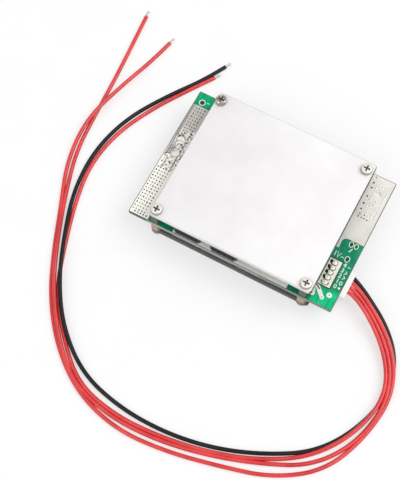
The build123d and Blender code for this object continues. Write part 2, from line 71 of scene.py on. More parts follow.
def add_node(tree, kind, inputs=None, stops=(), **settings):
    """Adds a node with its settings; a kind without "Node" in it is a shader node's. Each
    input is a link from a socket or from a node's first active output, a value or a hex
    colour. Stops are a ramp's places and hex colours."""
    node = tree.nodes.new(kind if "Node" in kind else "ShaderNode" + kind)
    for name, value in settings.items():
        setattr(node, name, value)
    for key, value in (inputs or {}).items():
        if isinstance(value, bpy.types.Node):
            value = next(socket for socket in value.outputs if socket.enabled)
        if isinstance(value, bpy.types.NodeSocket):
            tree.links.new(value, node.inputs[key])
        else:
            node.inputs[key].default_value = linear(value) if str(value)[0] == "#" else value
    for number, (place, colour) in enumerate(stops):
        elements = node.color_ramp.elements
        element = elements[number] if number < 2 else elements.new(place)
        element.position = place
        element.color = linear(colour)
    return node


# ---------------------------------------------------------------- camera
camera_data = bpy.data.cameras.new("camera")
camera_data.sensor_fit = "VERTICAL"
camera_data.sensor_height = 36.0
camera_data.lens = 93.75
camera_data.clip_start = 0.01
camera = bpy.data.objects.new("camera", camera_data)
link_object(camera)
right_way = Vector((0.883504, 0.468284, 0.011466))
down_way = Vector((0.438268, -0.817736, -0.373134))
forward_way = Vector((-0.165356, 0.33469, -0.927707))
camera_place = Vector((59.878, -170.636, 414.131)) * MM
camera.matrix_world = Matrix.Translation(camera_place) @ Matrix(
    (right_way, -down_way, -forward_way)
).transposed().to_4x4()
bpy.context.scene.camera = camera


# ---------------------------------------------------------------- the four leads
# Each lead leaves the plug level, bends down to the surface T and loops round the board
T = 0.75
ROUTES = {
    "black_wire": [
        (39.7, -10.53, 6.2), (43.4, -11.1, 5.9), (62.5, -22.1, T), (69.7, -37.7, T),
        (65.9, -55.3, T), (56.4, -70.4, T), (41.4, -79.5, T), (25.1, -85.8, T),
        (7.9, -88.7, T), (-9.6, -88.2, T), (-26.5, -83.7, T), (-40.4, -72.6, 2.0),
        (-50.3, -58.3, 2.4), (-57.2, -42.5, 2.4), (-63.1, -26.1, T), (-64.5, -8.9, T),
        (-60.7, 8.0, T), (-52.1, 23.4, T), (-42.4, 37.1, T), (-38.3, 45.3, T),
    ],
    "red_wire_1": [
        (39.7, -12.53, 6.2), (43.6, -12.7, 6.8), (62.9, -24.8, 3.0), (70.8, -40.3, 1.8),
        (68.7, -57.9, T), (61.6, -74.8, T), (46.9, -85.3, T), (29.3, -90.2, T),
        (11.8, -94.1, T), (-6.3, -95.4, T), (-23.6, -90.8, T), (-38.1, -80.2, T),
        (-49.5, -66.1, T), (-57.4, -50.3, T), (-64.0, -33.8, T), (-71.1, -17.3, T),
        (-73.0, 0.7, 2.4), (-68.4, 18.8, 2.4), (-63.8, 35.0, T), (-61.7, 44.5, T),
    ],
    "red_wire_2": [
        (39.7, -14.53, 6.2), (43.8, -13.9, 5.9), (62.5, -26.7, 2.9), (70.1, -42.4, 2.4),
        (67.4, -60.4, T), (57.2, -75.4, T), (41.0, -83.2, T), (24.2, -88.8, T),
        (7.0, -92.2, T), (-10.9, -92.6, T), (-28.0, -88.0, T), (-41.1, -75.4, 1.8),
        (-51.3, -60.7, 2.0), (-58.6, -44.8, 2.0), (-65.1, -28.3, T), (-70.3, -11.5, T),
        (-71.6, 6.3, T), (-72.7, 24.5, T), (-74.3, 40.9, T), (-75.2, 50.5, T),
    ],
    "red_wire_3": [
        (39.7, -16.53, 6.2), (44.0, -15.7, 6.7), (61.4, -27.9, 2.9), (69.0, -42.7, 2.4),
        (64.7, -60.0, 2.3), (54.6, -73.6, T), (39.9, -82.3, T), (24.0, -87.8, T),
        (7.3, -90.7, T), (-9.7, -91.3, T), (-26.2, -87.4, T), (-38.8, -75.4, T),
        (-49.3, -62.2, T), (-55.0, -46.5, T), (-60.1, -30.4, T), (-63.1, -14.0, T),
        (-60.5, 2.5, T), (-53.2, 18.1, T), (-44.5, 32.0, T), (-39.7, 39.2, T),
    ],
}
WIRE_RADIUS = 0.75
BARE_LENGTH = 2.4


def lead_curve(name, route):
    """A lead as a tube along a smooth line through its route."""
    curve = bpy.data.curves.new(name, "CURVE")
    curve.dimensions = "3D"
    spline = curve.splines.new("NURBS")
    spline.points.add(len(route) - 1)
    for point, (x, y, z) in zip(spline.points, route):
        point.co = (x * MM, y * MM, z * MM, 1.0)
    spline.order_u = 3
    spline.use_endpoint_u = True
    spline.resolution_u = 12
    curve.bevel_depth = WIRE_RADIUS * MM
    curve.bevel_resolution = 5
    curve.use_fill_caps = True
    lead = bpy.data.objects.new(name, curve)
    link_object(lead)
    return lead


leads = {wire: lead_curve("lead_" + wire, route) for wire, route in ROUTES.items()}


# ---------------------------------------------------------------- materials
def new_material(name):
    """An empty material, the function that adds a node to it, and the board's coordinates."""
    material = bpy.data.materials.new(name)
    material.use_nodes = True
    material.node_tree.nodes.clear()
    add = partial(add_node, material.node_tree)
    return material, add, add("TexCoord").outputs["Object"]


def lay_surface(material, add, colour, relief, strength, depth, gloss):
    """Joins a colour, a relief so many millimetres deep and the gloss in one shader."""
    bump = add("Bump", {"Height": relief, "Strength": strength, "Distance": depth * MM})
    shader = add("BsdfPrincipled", {"Base Color": colour, "Normal": bump, **gloss})
    add("OutputMaterial", {"Surface": shader})
    return material


def sideways(add):
    """The way that a face looks, and how far it stands upright, from 0 to 1."""
    way = add("SeparateXYZ", {"Vector": add("NewGeometry").outputs["True Normal"]})
    level = add("Math", {0: way.outputs["Z"]}, operation="ABSOLUTE")
    return way, add("MapRange", {"Value": level, "From Min": 0.9, "From Max": 0.55})


# Aluminium sheet, rolled, then left with its satin mill skin. The top face is nearly
# white, with a cloudy mottle of about 15 mm and a grain of 0.1 mm along the rolling, and
# dulls a little towards its left end. The faces towards the board carry painted shade, and
# the side faces are painted darker as shade, most of all the right, where a painted shadow
# line stands for the gap under the plate
def satin_aluminium(name, shaded_inner_face, shaded_edge_low, shaded_edge_high, right_edge_shade, back_edge_shade):
    material, add, coords = new_material(name)
    rolled = add("Mapping", {"Vector": coords, "Scale": (900, 9000, 900)})
    grain = add("TexNoise", {"Vector": rolled, "Scale": 1.0, "Detail": 3.0, "Roughness": 0.6})
    mottle = add("TexNoise", {"Vector": coords, "Scale": 62.0, "Detail": 3.0, "Roughness": 0.55})
    face = add("ValToRGB", {"Fac": mottle}, [(0.3, "#EBE9EA"), (0.5, "#EFEDEE"), (0.7, "#F3F2F1")])
    dull = add("ValToRGB", {"Fac": mottle}, [(0.3, "#E2E0E1"), (0.7, "#E9E7E8")])
    place = add("SeparateXYZ", {"Vector": coords})
    leftwards = add("MapRange", {
        "Value": place.outputs["X"], "From Min": 14 * MM, "From Max": -31 * MM})
    top = add("Mix", {0: leftwards, 6: face, 7: dull}, data_type="RGBA")
    # Both faces towards the board are less than 6.8 mm from its middle; they take a tone of
    # painted shade
    inner = add("Math", {
        0: place.outputs["Z"], 1: BOARD_MIDDLE * MM, 2: 6.8 * MM}, operation="COMPARE")
    top = add("Mix", {0: inner, 6: top, 7: shaded_inner_face}, data_type="RGBA")
    # Painted shade: side faces and chamfers take the darker edge tones, and faces towards +X or +Y
    # darker ones still
    way, upright = sideways(add)
    edge = add("ValToRGB", {"Fac": mottle}, [(0.3, shaded_edge_low), (0.7, shaded_edge_high)])
    colour = add("Mix", {0: upright, 6: top, 7: edge}, data_type="RGBA")
    for axis, tone in (("X", right_edge_shade), ("Y", back_edge_shade)):
        facing = add("MapRange", {"Value": way.outputs[axis], "From Min": 0.3, "From Max": 0.6})
        colour = add("Mix", {0: facing, 6: colour, 7: tone}, data_type="RGBA")
    rough = add("MapRange", {"Value": grain, "To Min": 0.5, "To Max": 0.66})
    return lay_surface(material, add, colour, grain, 0.1, 0.01, {
        "Roughness": rough, "Metallic": 0.2})


# Glass laminate under a screen-printed coat of green resist. The coat is glossy and lies over
# etched tracks of about 0.8 mm that show as faint lines. It is darker on the right behind
# the front corner and in a band beside the left land, and under the upper plate it carries
# painted shade. The routed outline is a thin dark line, the cut sides show grey-green
# fibreglass in plies of 0.2 mm, and the two terminal holes have a plated, tinned wall that
# mirrors the pale floor
def solder_resist():
    material, add, coords = new_material("green solder resist over glass laminate")
    clouds = add("TexNoise", {"Vector": coords, "Scale": 210.0, "Detail": 3.0})
    etched = add("Mapping", {
        "Vector": coords, "Rotation": (0, 0, 0.25), "Scale": (1100, 190, 190)})
    tracks = add("TexNoise", {"Vector": etched, "Scale": 1.0, "Detail": 1.0})
    place = add("SeparateXYZ", {"Vector": coords})
    pale = add("ValToRGB", {"Fac": clouds}, [
        (0.3, "#06AF76"), (0.5, "#0CBC7F"), (0.72, "#18C98C")])
    deep = add("ValToRGB", {"Fac": clouds}, [
        (0.3, "#0C7E58"), (0.5, "#128D66"), (0.72, "#1C9C74")])
    forward = add("MapRange", {
        "Value": place.outputs["Y"], "From Min": -21.5 * MM, "From Max": -19.0 * MM})
    at_right = add("Math", {0: place.outputs["X"], 1: 0.0}, operation="GREATER_THAN")
    darker_and_shaded = add("Math", {0: forward, 1: at_right}, operation="MULTIPLY")
    beside_land = add("MapRange", {
        "Value": place.outputs["Y"], "From Min": 23.4 * MM, "From Max": 21.6 * MM, "To Min": 0.2})
    at_left = add("Math", {0: place.outputs["X"], 1: 0.0}, operation="LESS_THAN")
    beside_land = add("Math", {0: beside_land, 1: at_left}, operation="MULTIPLY")
    darker_and_shaded = add("Math", {0: darker_and_shaded, 1: beside_land}, operation="MAXIMUM")
    # Painted shade: within 31 mm of the middle, under the upper plate, the coat takes the darker
    # tones
    away = add("VectorMath", {0: coords}, operation="ABSOLUTE")
    across = add("SeparateXYZ", {"Vector": away})
    under_plate_shade = add("Math", {0: across.outputs["X"], 1: 31.0 * MM}, operation="LESS_THAN")
    darker_and_shaded = add("Math", {0: darker_and_shaded, 1: under_plate_shade}, operation="MAXIMUM")
    coat = add("Mix", {0: darker_and_shaded, 6: pale, 7: deep}, data_type="RGBA")
    lines = add("MapRange", {"Value": tracks, "From Min": 0.5, "From Max": 0.62, "To Max": 0.4})
    coat = add("Mix", {0: lines, 6: coat, 7: "#126B49"}, data_type="RGBA")
    # The routed outline, 0.25 mm wide
    over = add("VectorMath", {0: away, 1: (39.25 * MM, 26.75 * MM, 1.0)}, operation="SUBTRACT")
    over = add("SeparateXYZ", {"Vector": over})
    over = add("Math", {0: over.outputs["X"], 1: over.outputs["Y"]}, operation="MAXIMUM")
    outline = add("Math", {0: over, 1: 0.0}, operation="GREATER_THAN")
    border = add("ValToRGB", {"Fac": clouds}, [(0.35, "#4F5B52"), (0.65, "#66736A")])
    top = add("Mix", {0: outline, 6: coat, 7: border}, data_type="RGBA")
    layers = add("Mapping", {"Vector": coords, "Scale": (300, 300, 6000)})
    plies = add("TexNoise", {"Vector": layers, "Scale": 1.0})
    fibre = add("ValToRGB", {"Fac": plies}, [(0.35, "#96A29A"), (0.65, "#B2BAB2")])
    # Both ends of the front side are darker
    ends = add("MapRange", {
        "Value": place.outputs["X"], "From Min": -BOARD_RIGHT * MM, "From Max": BOARD_RIGHT * MM})
    ends = add("ValToRGB", {"Fac": ends}, [
        (0.085, "#FFFFFF"), (0.1, "#000000"), (0.64, "#000000"), (0.66, "#B0B0B0")])
    fibre = add("Mix", {0: ends, 6: fibre, 7: "#4E5B56"}, data_type="RGBA")
    upright = sideways(add)[1]
    colour = add("Mix", {0: upright, 6: top, 7: fibre}, data_type="RGBA")
    flat = add("VectorMath", {0: coords, 1: (1.0, 1.0, 0.0)}, operation="MULTIPLY")
    plated = 0.0
    for x, y in (LEFT_HOLE, RIGHT_HOLE):
        off = add("VectorMath", {0: flat, 1: (x * MM, y * MM, 0.0)}, operation="DISTANCE")
        wall = add("Math", {0: off, 1: (HOLE_RADIUS + 0.05) * MM}, operation="LESS_THAN")
        colour = add("Mix", {0: wall, 6: colour, 7: "#F7F5EE"}, data_type="RGBA")
        plated = add("Math", {0: wall, 1: plated}, operation="MAXIMUM")
    return lay_surface(material, add, colour, tracks, 0.25, 0.035, {
        "Metallic": plated, "Roughness": 0.36, "Specular IOR Level": 0.14, "Coat Weight": 0.04,
        "Coat Roughness": 0.2})


# Solder reflowed on copper: soft silver with a creamy cast, frozen in slow ripples of
# about 1 mm. From fade_from to fade_to along Y it turns from the front tones to the back
# tones, and grey_side is where a wiped, smooth grey margin ends along X
def tinned_copper(name, front_tones, back_tones, fade_from, fade_to, grey_side):
    material, add, coords = new_material(name)
    ripple = add("TexNoise", {"Vector": coords, "Scale": 620.0, "Detail": 4.0, "Roughness": 0.6})
    clouds = add("TexNoise", {"Vector": coords, "Scale": 150.0, "Detail": 2.0})
    both = add("Mix", {0: 0.55, 2: ripple, 3: clouds})
    front = add("ValToRGB", {"Fac": both}, [(0.3, front_tones[0]), (0.62, front_tones[1])])
    back = add("ValToRGB", {"Fac": both}, [(0.3, back_tones[0]), (0.62, back_tones[1])])
    place = add("SeparateXYZ", {"Vector": coords})
    fade = add("MapRange", {
        "Value": place.outputs["Y"], "From Min": fade_from * MM, "From Max": fade_to * MM})
    tin = add("Mix", {0: fade, 6: front, 7: back}, data_type="RGBA")
    wiped = add("MapRange", {
        "Value": place.outputs["X"], "From Min": (grey_side + 0.3) * MM,
        "From Max": (grey_side - 0.3) * MM})
    wiped = add("Math", {0: wiped, 1: fade}, operation="MULTIPLY")
    tin = add("Mix", {0: wiped, 6: tin, 7: "#9C9995"}, data_type="RGBA")
    rough = add("MapRange", {"Value": ripple, "To Min": 0.4, "To Max": 0.62})
    return lay_surface(material, add, tin, ripple, 0.3, 0.04, {
        "Roughness": rough, "Metallic": 0.25})


# Solder dragged on with an iron round a terminal: bright cream lumps, with brown flux and
# soot held in the hollows, a line of painted shade along the plate's edge, and a smooth grey
# film where the iron wiped it along the edge.
# The piece's flux and film attributes say how much, from 0 to 1
def dragged_solder():
    material, add, coords = new_material("solder dragged on by hand")
    flux = add("Attribute", attribute_name="flux").outputs["Fac"]
    grain = add("TexNoise", {"Vector": coords, "Scale": 1400.0, "Detail": 3.0})
    bare = add("ValToRGB", {"Fac": grain}, [(0.35, "#EDEBE1"), (0.65, "#FDFCF4")])
    brown = add("ValToRGB", {"Fac": grain}, [(0.35, "#26221C"), (0.65, "#4C473D")])
    wiped = add("Mapping", {"Vector": coords, "Rotation": (0, 0, -0.5), "Scale": (1500, 260, 260)})
    strokes = add("TexNoise", {"Vector": wiped, "Scale": 1.0, "Detail": 2.0})
    grey = add("ValToRGB", {"Fac": strokes}, [(0.38, "#918D8B"), (0.6, "#BDB9B7")])
    film = add("Attribute", attribute_name="film").outputs["Fac"]
    bare = add("Mix", {0: film, 6: bare, 7: grey}, data_type="RGBA")
    colour = add("Mix", {0: flux, 6: bare, 7: brown}, data_type="RGBA")
    rough = add("MapRange", {"Value": grain, "To Min": 0.28, "To Max": 0.46})
    return lay_surface(material, add, colour, grain, 0.25, 0.03, {
        "Roughness": rough, "Metallic": 0.3})


# Solder drawn up each pin by hand: bright smooth crowns, a grey-brown line of painted shade
# round the foot and dark painted shade on the left flank of the four back joints
def pin_solder():
    material, add, coords = new_material("bright solder on the pins")
    grain = add("TexNoise", {"Vector": coords, "Scale": 900.0, "Detail": 3.0})
    crown = add("ValToRGB", {"Fac": grain}, [(0.32, "#F4F2E8"), (0.68, "#FFFEF6")])
    place = add("SeparateXYZ", {"Vector": coords})
    # Painted shade in the crease round the foot
    foot = add("MapRange", {
        "Value": place.outputs["Z"], "From Min": (BOARD_TOP + 0.42) * MM,
        "From Max": (BOARD_TOP + 0.25) * MM, "To Max": 0.85})
    colour = add("Mix", {0: foot, 6: crown, 7: "#857A6C"}, data_type="RGBA")
    # Painted shade on the left flank, away from the key lamp, with a ragged edge
    edge = add("Math", {0: grain, 1: 1.4 * MM, 2: place.outputs["X"]}, operation="MULTIPLY_ADD")
    flank_shade = add("MapRange", {"Value": edge, "From Min": 33.15 * MM, "From Max": 33.0 * MM})
    behind = add("Math", {0: place.outputs["Y"], 1: -17.4 * MM}, operation="GREATER_THAN")
    flank_shade = add("Math", {0: flank_shade, 1: behind}, operation="MULTIPLY")
    colour = add("Mix", {0: flank_shade, 6: colour, 7: "#2A231C"}, data_type="RGBA")
    rough = add("MapRange", {"Value": grain, "To Min": 0.24, "To Max": 0.36})
    return lay_surface(material, add, colour, grain, 0.15, 0.02, {
        "Roughness": rough, "Metallic": 0.3})


# Steel screws, cold-headed and nickel-plated: a bright warm crown, with painted shade
# down in the cross and in a thin line round the head's foot. On the back left screw,
# patches of painted dark reflection cover part of its crown too
def plated_steel():
    material, add, coords = new_material("nickel-plated steel")
    brush = add("TexNoise", {"Vector": coords, "Scale": 1500.0, "Detail": 3.0})
    crown = add("ValToRGB", {"Fac": brush}, [(0.32, "#E3E0D6"), (0.68, "#F3F0E8")])
    shade_tone = add("ValToRGB", {"Fac": brush}, [(0.32, "#756B64"), (0.68, "#9C918A")])
    from_middle = add("VectorMath", {
        0: coords, 1: tuple(c * MM for c in SCREW_MIDDLE)}, operation="SUBTRACT")
    mirrored = add("VectorMath", {0: from_middle}, operation="ABSOLUTE")
    height = add("SeparateXYZ", {"Vector": mirrored}).outputs["Z"]
    off = add("VectorMath", {
        0: mirrored, 1: tuple(c * MM for c in SCREW_REACH)}, operation="SUBTRACT")
    off = add("VectorMath", {0: off, 1: (1.0, 1.0, 0.0)}, operation="MULTIPLY")
    off = add("VectorMath", {0: off}, operation="LENGTH")
    # Painted shade deep in the cross recess
    inside = add("Math", {0: off, 1: 1.5 * MM}, operation="LESS_THAN")
    deep = add("MapRange", {"Value": height, "From Min": 9.33 * MM, "From Max": 9.15 * MM})
    recess = add("Math", {0: inside, 1: deep}, operation="MULTIPLY")
    # Painted shade in a thin line round the head's foot
    rim = add("MapRange", {
        "Value": off, "From Min": 1.82 * MM, "From Max": 1.98 * MM, "To Max": 0.75})
    painted_shade_and_reflection = add("Math", {0: recess, 1: rim}, operation="MAXIMUM")
    # Painted dark reflection in patches on the back left screw's crown
    side = add("SeparateXYZ", {"Vector": from_middle})
    back_left = add("Math", {0: side.outputs["Y"], 1: side.outputs["X"]}, operation="SUBTRACT")
    back_left = add("Math", {0: back_left, 1: 45 * MM}, operation="GREATER_THAN")
    patches = add("TexNoise", {"Vector": coords, "Scale": 900.0, "Detail": 1.0})
    patches = add("MapRange", {"Value": patches, "From Min": 0.44, "From Max": 0.5, "To Max": 0.9})
    dark_reflection = add("Math", {0: back_left, 1: patches}, operation="MULTIPLY")
    painted_shade_and_reflection = add("Math", {0: painted_shade_and_reflection, 1: dark_reflection}, operation="MAXIMUM")
    colour = add("Mix", {0: painted_shade_and_reflection, 6: crown, 7: shade_tone}, data_type="RGBA")
    rough = add("MapRange", {"Value": brush, "To Min": 0.28, "To Max": 0.42})
    return lay_surface(material, add, colour, brush, 0.1, 0.02, {
        "Roughness": rough, "Metallic": 0.45})


# Small metal pieces, plated or turned: two near tones over a grain whose size per metre is
# given, with the same grain in the gloss and the relief
def small_metal(name, low, high, gloss, metallic, grain):
    material, add, coords = new_material(name)
    pattern = add("TexNoise", {"Vector": coords, "Scale": grain, "Detail": 3.0})
    colour = add("ValToRGB", {"Fac": pattern}, [(0.32, low), (0.68, high)])
    rough = add("MapRange", {"Value": pattern, "To Min": gloss, "To Max": gloss + 0.12})
    return lay_surface(material, add, colour, pattern, 0.15, 0.02, {
        "Roughness": rough, "Metallic": metallic})


# Moulded, fired or printed pieces: a matt body colour with a fine even grain, from the
# filler or the mould's skin, and a slow clouding ten times as wide
def moulded_body(name, low, high, gloss, grain):
    material, add, coords = new_material(name)
    fine = add("TexNoise", {"Vector": coords, "Scale": grain, "Detail": 2.0})
    slow = add("TexNoise", {"Vector": coords, "Scale": grain / 10, "Detail": 2.0})
    both = add("Mix", {0: 0.5, 2: fine, 3: slow})
    colour = add("ValToRGB", {"Fac": both}, [(0.35, low), (0.65, high)])
    rough = add("MapRange", {"Value": both, "To Min": gloss, "To Max": gloss + 0.12})
    return lay_surface(material, add, colour, fine, 0.2, 0.02, {"Roughness": rough})


# Soft insulation, extruded over the strands: one strong colour, smooth and half glossy,
# paler where handling has dulled it in patches of some 8 mm, with faint die lines
def extruded_insulation(name, fresh, dulled, gloss, sheen):
    material, add, coords = new_material(name)
    handled = add("TexNoise", {"Vector": coords, "Scale": 120.0, "Detail": 3.0})
    fine = add("TexNoise", {"Vector": coords, "Scale": 1500.0, "Detail": 2.0})
    colour = add("ValToRGB", {"Fac": handled}, [(0.35, fresh), (0.68, dulled)])
    rough = add("MapRange", {"Value": handled, "To Min": gloss, "To Max": gloss + 0.12})
    return lay_surface(material, add, colour, fine, 0.12, 0.02, {
        "Roughness": rough, "Specular IOR Level": sheen})


upper_aluminium = satin_aluminium(
    "satin rolled aluminium", "#C9C8C8", "#DCDCDC", "#ECECEB", "#5A5856", "#BDBBBB")
# The lower plate's inner face and side faces are painted dark grey as the shade they lie in under
# the board
lower_aluminium = satin_aluminium(
    "satin rolled aluminium with dark sheared edges", "#707171", "#525353", "#636464", "#3A3A3A",
    "#3A3A3A")
resist = solder_resist()
left_tin = tinned_copper("hand-tinned copper, greyer at the back", ("#FBF9EE", "#FFFEF6"), (
    "#BBB8B2", "#D0CDC6"), -2.0, 10.0, -38.4)
tinned = tinned_copper("reflowed solder on copper", ("#C6C2BA", "#DCD9D2"), (
    "#DCD8D0", "#EFECE5"), -10.0, 20.0, -99.0)
dragged = dragged_solder()
nickel = plated_steel()
pin_joint = pin_solder()
# Hexagonal brass bar, turned, with painted shade: dark olive brown for the shade under the plate
shaded_upper_brass = small_metal("turned brass, painted dark as shade", "#46513D", "#666E55", 0.4, 0.4, 900.0)
# The same bar under the board, unplated and duller
lower_brass = small_metal("turned brass, dulled", "#A98C76", "#C8AE98", 0.38, 0.45, 900.0)
# Painted shade: the tabs under the plate's edge are coloured dark grey for the shade there
shaded_tab_metal = small_metal("tin-plated copper, painted dark grey as shade", "#4E4C49", "#6A6763", 0.4, 0.6, 1200.0)
shunt_metal = small_metal("manganese-copper strip", "#8A7A66", "#A99882", 0.38, 0.9, 1500.0)
contact = small_metal("tin-plated bronze", "#B2AFA6", "#D2CFC6", 0.3, 0.8, 1500.0)
strand = small_metal("tinned copper strand", "#C2BFB6", "#ECE9E0", 0.28, 0.55, 3000.0)
bright = small_metal("bright solder, frozen smooth", "#EAE8DC", "#FBF9EE", 0.24, 0.3, 900.0)
# Painted light: a paler, non-metallic copy of the tin, for light the bus land under the plate
# lacks
lit_bus_tin = small_metal("reflowed solder, painted pale as light", "#F6F7EE", "#FFFFFA", 0.5, 0.0, 900.0)
epoxy = moulded_body("moulded black epoxy", "#2A2928", "#3A3836", 0.56, 2600.0)
silicone = moulded_body("silicone thermal pad", "#6D6F6E", "#838583", 0.7, 1500.0)
glaze = moulded_body("glazed chip resistor", "#1B1B1D", "#2A2A2C", 0.34, 1500.0)
fired = moulded_body("fired capacitor ceramic", "#8B6B4C", "#A3805C", 0.44, 1500.0)
nylon = moulded_body("moulded natural nylon", "#F6F4F0", "#FCFBF8", 0.38, 900.0)
ink = moulded_body("screen-printed epoxy ink", "#E4E2D0", "#F5F3E4", 0.45, 1800.0)
mark_ink = moulded_body("screen-printed epoxy ink, thin", "#C9E9D6", "#E6F7EA", 0.45, 2400.0)
# Painted shade: a dark cap stands for the shaded inside of an open hole
bore_shade = moulded_body("painted shade in a plated hole's bore", "#39352D", "#544F45", 0.55, 2400.0)
bare_gap = moulded_body("green resist over bare laminate", "#06281B", "#0E3D2B", 0.4, 900.0)
dried_flux = moulded_body("dried flux", "#17130F", "#2B241D", 0.35, 2400.0)
shade_ring_finish = moulded_body("painted shade round the pin feet", "#8B8071", "#ACA293", 0.35, 2400.0)
black_pvc = extruded_insulation("extruded black insulation", "#0E0D0E", "#1C1A1C", 0.3, 0.3)
red_pvc = extruded_insulation("extruded red insulation", "#CC1F26", "#E23A39", 0.2, 0.75)

FINISHES = {
    "board_laminate": resist, "tinned_copper": tinned, "plate_aluminium": upper_aluminium,
    "screw_steel": nickel, "standoff_brass": shaded_upper_brass, "package_epoxy": epoxy,
    "package_metal": shaded_tab_metal, "thermal_silicone": silicone, "resistor_ceramic": glaze,
    "capacitor_ceramic": fired, "shunt_metal": shunt_metal, "housing_nylon": nylon,
    "contact_metal": contact, "solder": pin_joint, "black_insulation": black_pvc,
    "red_insulation": red_pvc,
}
OWN_FINISHES = {
    "lower_plate": lower_aluminium, "left_terminal_lands": left_tin, "upper_bus_lands": lit_bus_tin,
    "corner_traces": bright, "lower_standoffs": lower_brass}
for part in frame["record"]["subparts"]:
    piece = nodes[part["node"]]
    piece.data.materials.clear()
    piece.data.materials.append(OWN_FINISHES.get(part["node"], FINISHES[part["material_slot"]]))


# ---------------------------------------------------------------- small pieces on the board
def keep_piece(name, mesh):
    """Puts a finished mesh in the scene as a piece of the one body."""
    piece = bpy.data.objects.new(name, mesh)
    link_object(piece)
    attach(piece, "root")
    return piece


def keep_shape(name, shape, finish, smooth=False):
    """Turns a built shape into a piece with outward normals and one finish."""
    bmesh.ops.remove_doubles(shape, verts=shape.verts, dist=1e-7)
    bmesh.ops.recalc_face_normals(shape, faces=shape.faces)
    mesh = bpy.data.meshes.new(name)
    shape.to_mesh(mesh)
    shape.free()
    mesh.materials.append(finish)
    if smooth:
        mesh.shade_smooth()
    return keep_piece(name, mesh)


def final_mesh(holder):
    """The mesh that a holder object makes; the holder itself goes."""
    link_object(holder)
    depsgraph = bpy.context.evaluated_depsgraph_get()
    mesh = bpy.data.meshes.new_from_object(holder.evaluated_get(depsgraph), depsgraph=depsgraph)
    bpy.data.objects.remove(holder)
    return mesh


def plated_hole_tree():
    """Grows a plated hole on each point: a low solder rim round a flat cap in the bore finish,
    which for open holes is painted shade.
    """
    tree = bpy.data.node_groups.new("plated holes on points", "GeometryNodeTree")
    sockets = tree.interface
    sockets.new_socket("Geometry", in_out="INPUT", socket_type="NodeSocketGeometry")
    for name, kind, value in (
        ("Bore Radius", "NodeSocketFloat", 0.25 * MM), ("Rim Width", "NodeSocketFloat", 0.12 * MM),
        ("Rim Height", "NodeSocketFloat", 0.04 * MM), ("Size Spread", "NodeSocketFloat", 0.15),
        ("Seed", "NodeSocketInt", 3),
    ):
        sockets.new_socket(name, in_out="INPUT", socket_type=kind).default_value = value
    sockets.new_socket("Rim Finish", in_out="INPUT", socket_type="NodeSocketMaterial")
    sockets.new_socket("Bore Finish", in_out="INPUT", socket_type="NodeSocketMaterial")
    sockets.new_socket("Geometry", in_out="OUTPUT", socket_type="NodeSocketGeometry")
    add = partial(add_node, tree)
    given = add("NodeGroupInput").outputs
    foot = add("Math", {0: given["Bore Radius"], 1: given["Rim Width"]}, operation="ADD")
    rim = add("GeometryNodeMeshCone", {
        "Vertices": 12, "Radius Top": given["Bore Radius"], "Radius Bottom": foot,
        "Depth": given["Rim Height"]})
    bored = add("GeometryNodeStoreNamedAttribute", {
        "Geometry": rim.outputs["Mesh"], "Name": "bore",
        "Value": rim.outputs["Top"]}, data_type="BOOLEAN", domain="FACE")
    least = add("Math", {0: 1.0, 1: given["Size Spread"]}, operation="SUBTRACT")
    most = add("Math", {0: 1.0, 1: given["Size Spread"]}, operation="ADD")
    size = add("FunctionNodeRandomValue", {
        2: least, 3: most, "Seed": given["Seed"]}, data_type="FLOAT")
    placed = add("GeometryNodeInstanceOnPoints", {
        "Points": given["Geometry"], "Instance": bored, "Scale": size})
    real = add("GeometryNodeRealizeInstances", {"Geometry": placed})
    rims = add("GeometryNodeSetMaterial", {"Geometry": real, "Material": given["Rim Finish"]})
    marked = add("GeometryNodeInputNamedAttribute", {"Name": "bore"}, data_type="BOOLEAN")
    bores = add("GeometryNodeSetMaterial", {
        "Geometry": rims, "Selection": marked, "Material": given["Bore Finish"]})
    add("NodeGroupOutput", {"Geometry": bores})
    return tree


def grown_piece(name, points, tree, inputs):
    """Grows a node tree on points at the holes' level and keeps it as a plain mesh."""
    seeds = bpy.data.meshes.new(name + "_points")
    seeds.from_pydata([(x * MM, y * MM, HOLE_LEVEL * MM) for x, y in points], [], [])
    holder = bpy.data.objects.new(name + "_points", seeds)
    modifier = holder.modifiers.new("grown", "NODES")
    modifier.node_group = tree
    for item in tree.interface.items_tree:
        if item.item_type == "SOCKET" and item.in_out == "INPUT" and item.name in inputs:
            modifier[item.identifier] = inputs[item.name]
    mesh = final_mesh(holder)
    mesh.name = name
    keep_piece(name, mesh)


# The left land's field of plated holes stands in five columns. Those at the terminal are
# filled with solder, and the outer column behind it was wiped over
chance = random.Random(11)
HOLE_LEVEL = LAND_TOP + 0.02
COLUMN_PITCH, LEFT_ROW_PITCH, RIGHT_ROW_PITCH = 1.09, 1.292, 1.25
left_holes = []
for row in range(37):
    for column in range(5):
        # The first row stands one column to the right of the others
        x = BOARD_LEFT + 0.96 + COLUMN_PITCH * (column + (row == 0)) + chance.uniform(-0.05, 0.05)
        y = 1.02 if row == 0 else 0.73 + LEFT_ROW_PITCH * row
        y = BOARD_FRONT + y + chance.uniform(-0.05, 0.05)
        filled = -6.5 < y < 9.5 and chance.random() < 0.55
        wiped = column == 0 and y > 4.0
        if math.dist((x, y), LEFT_HOLE) > 2.4 and not filled and not wiped:
            left_holes.append((x, y))

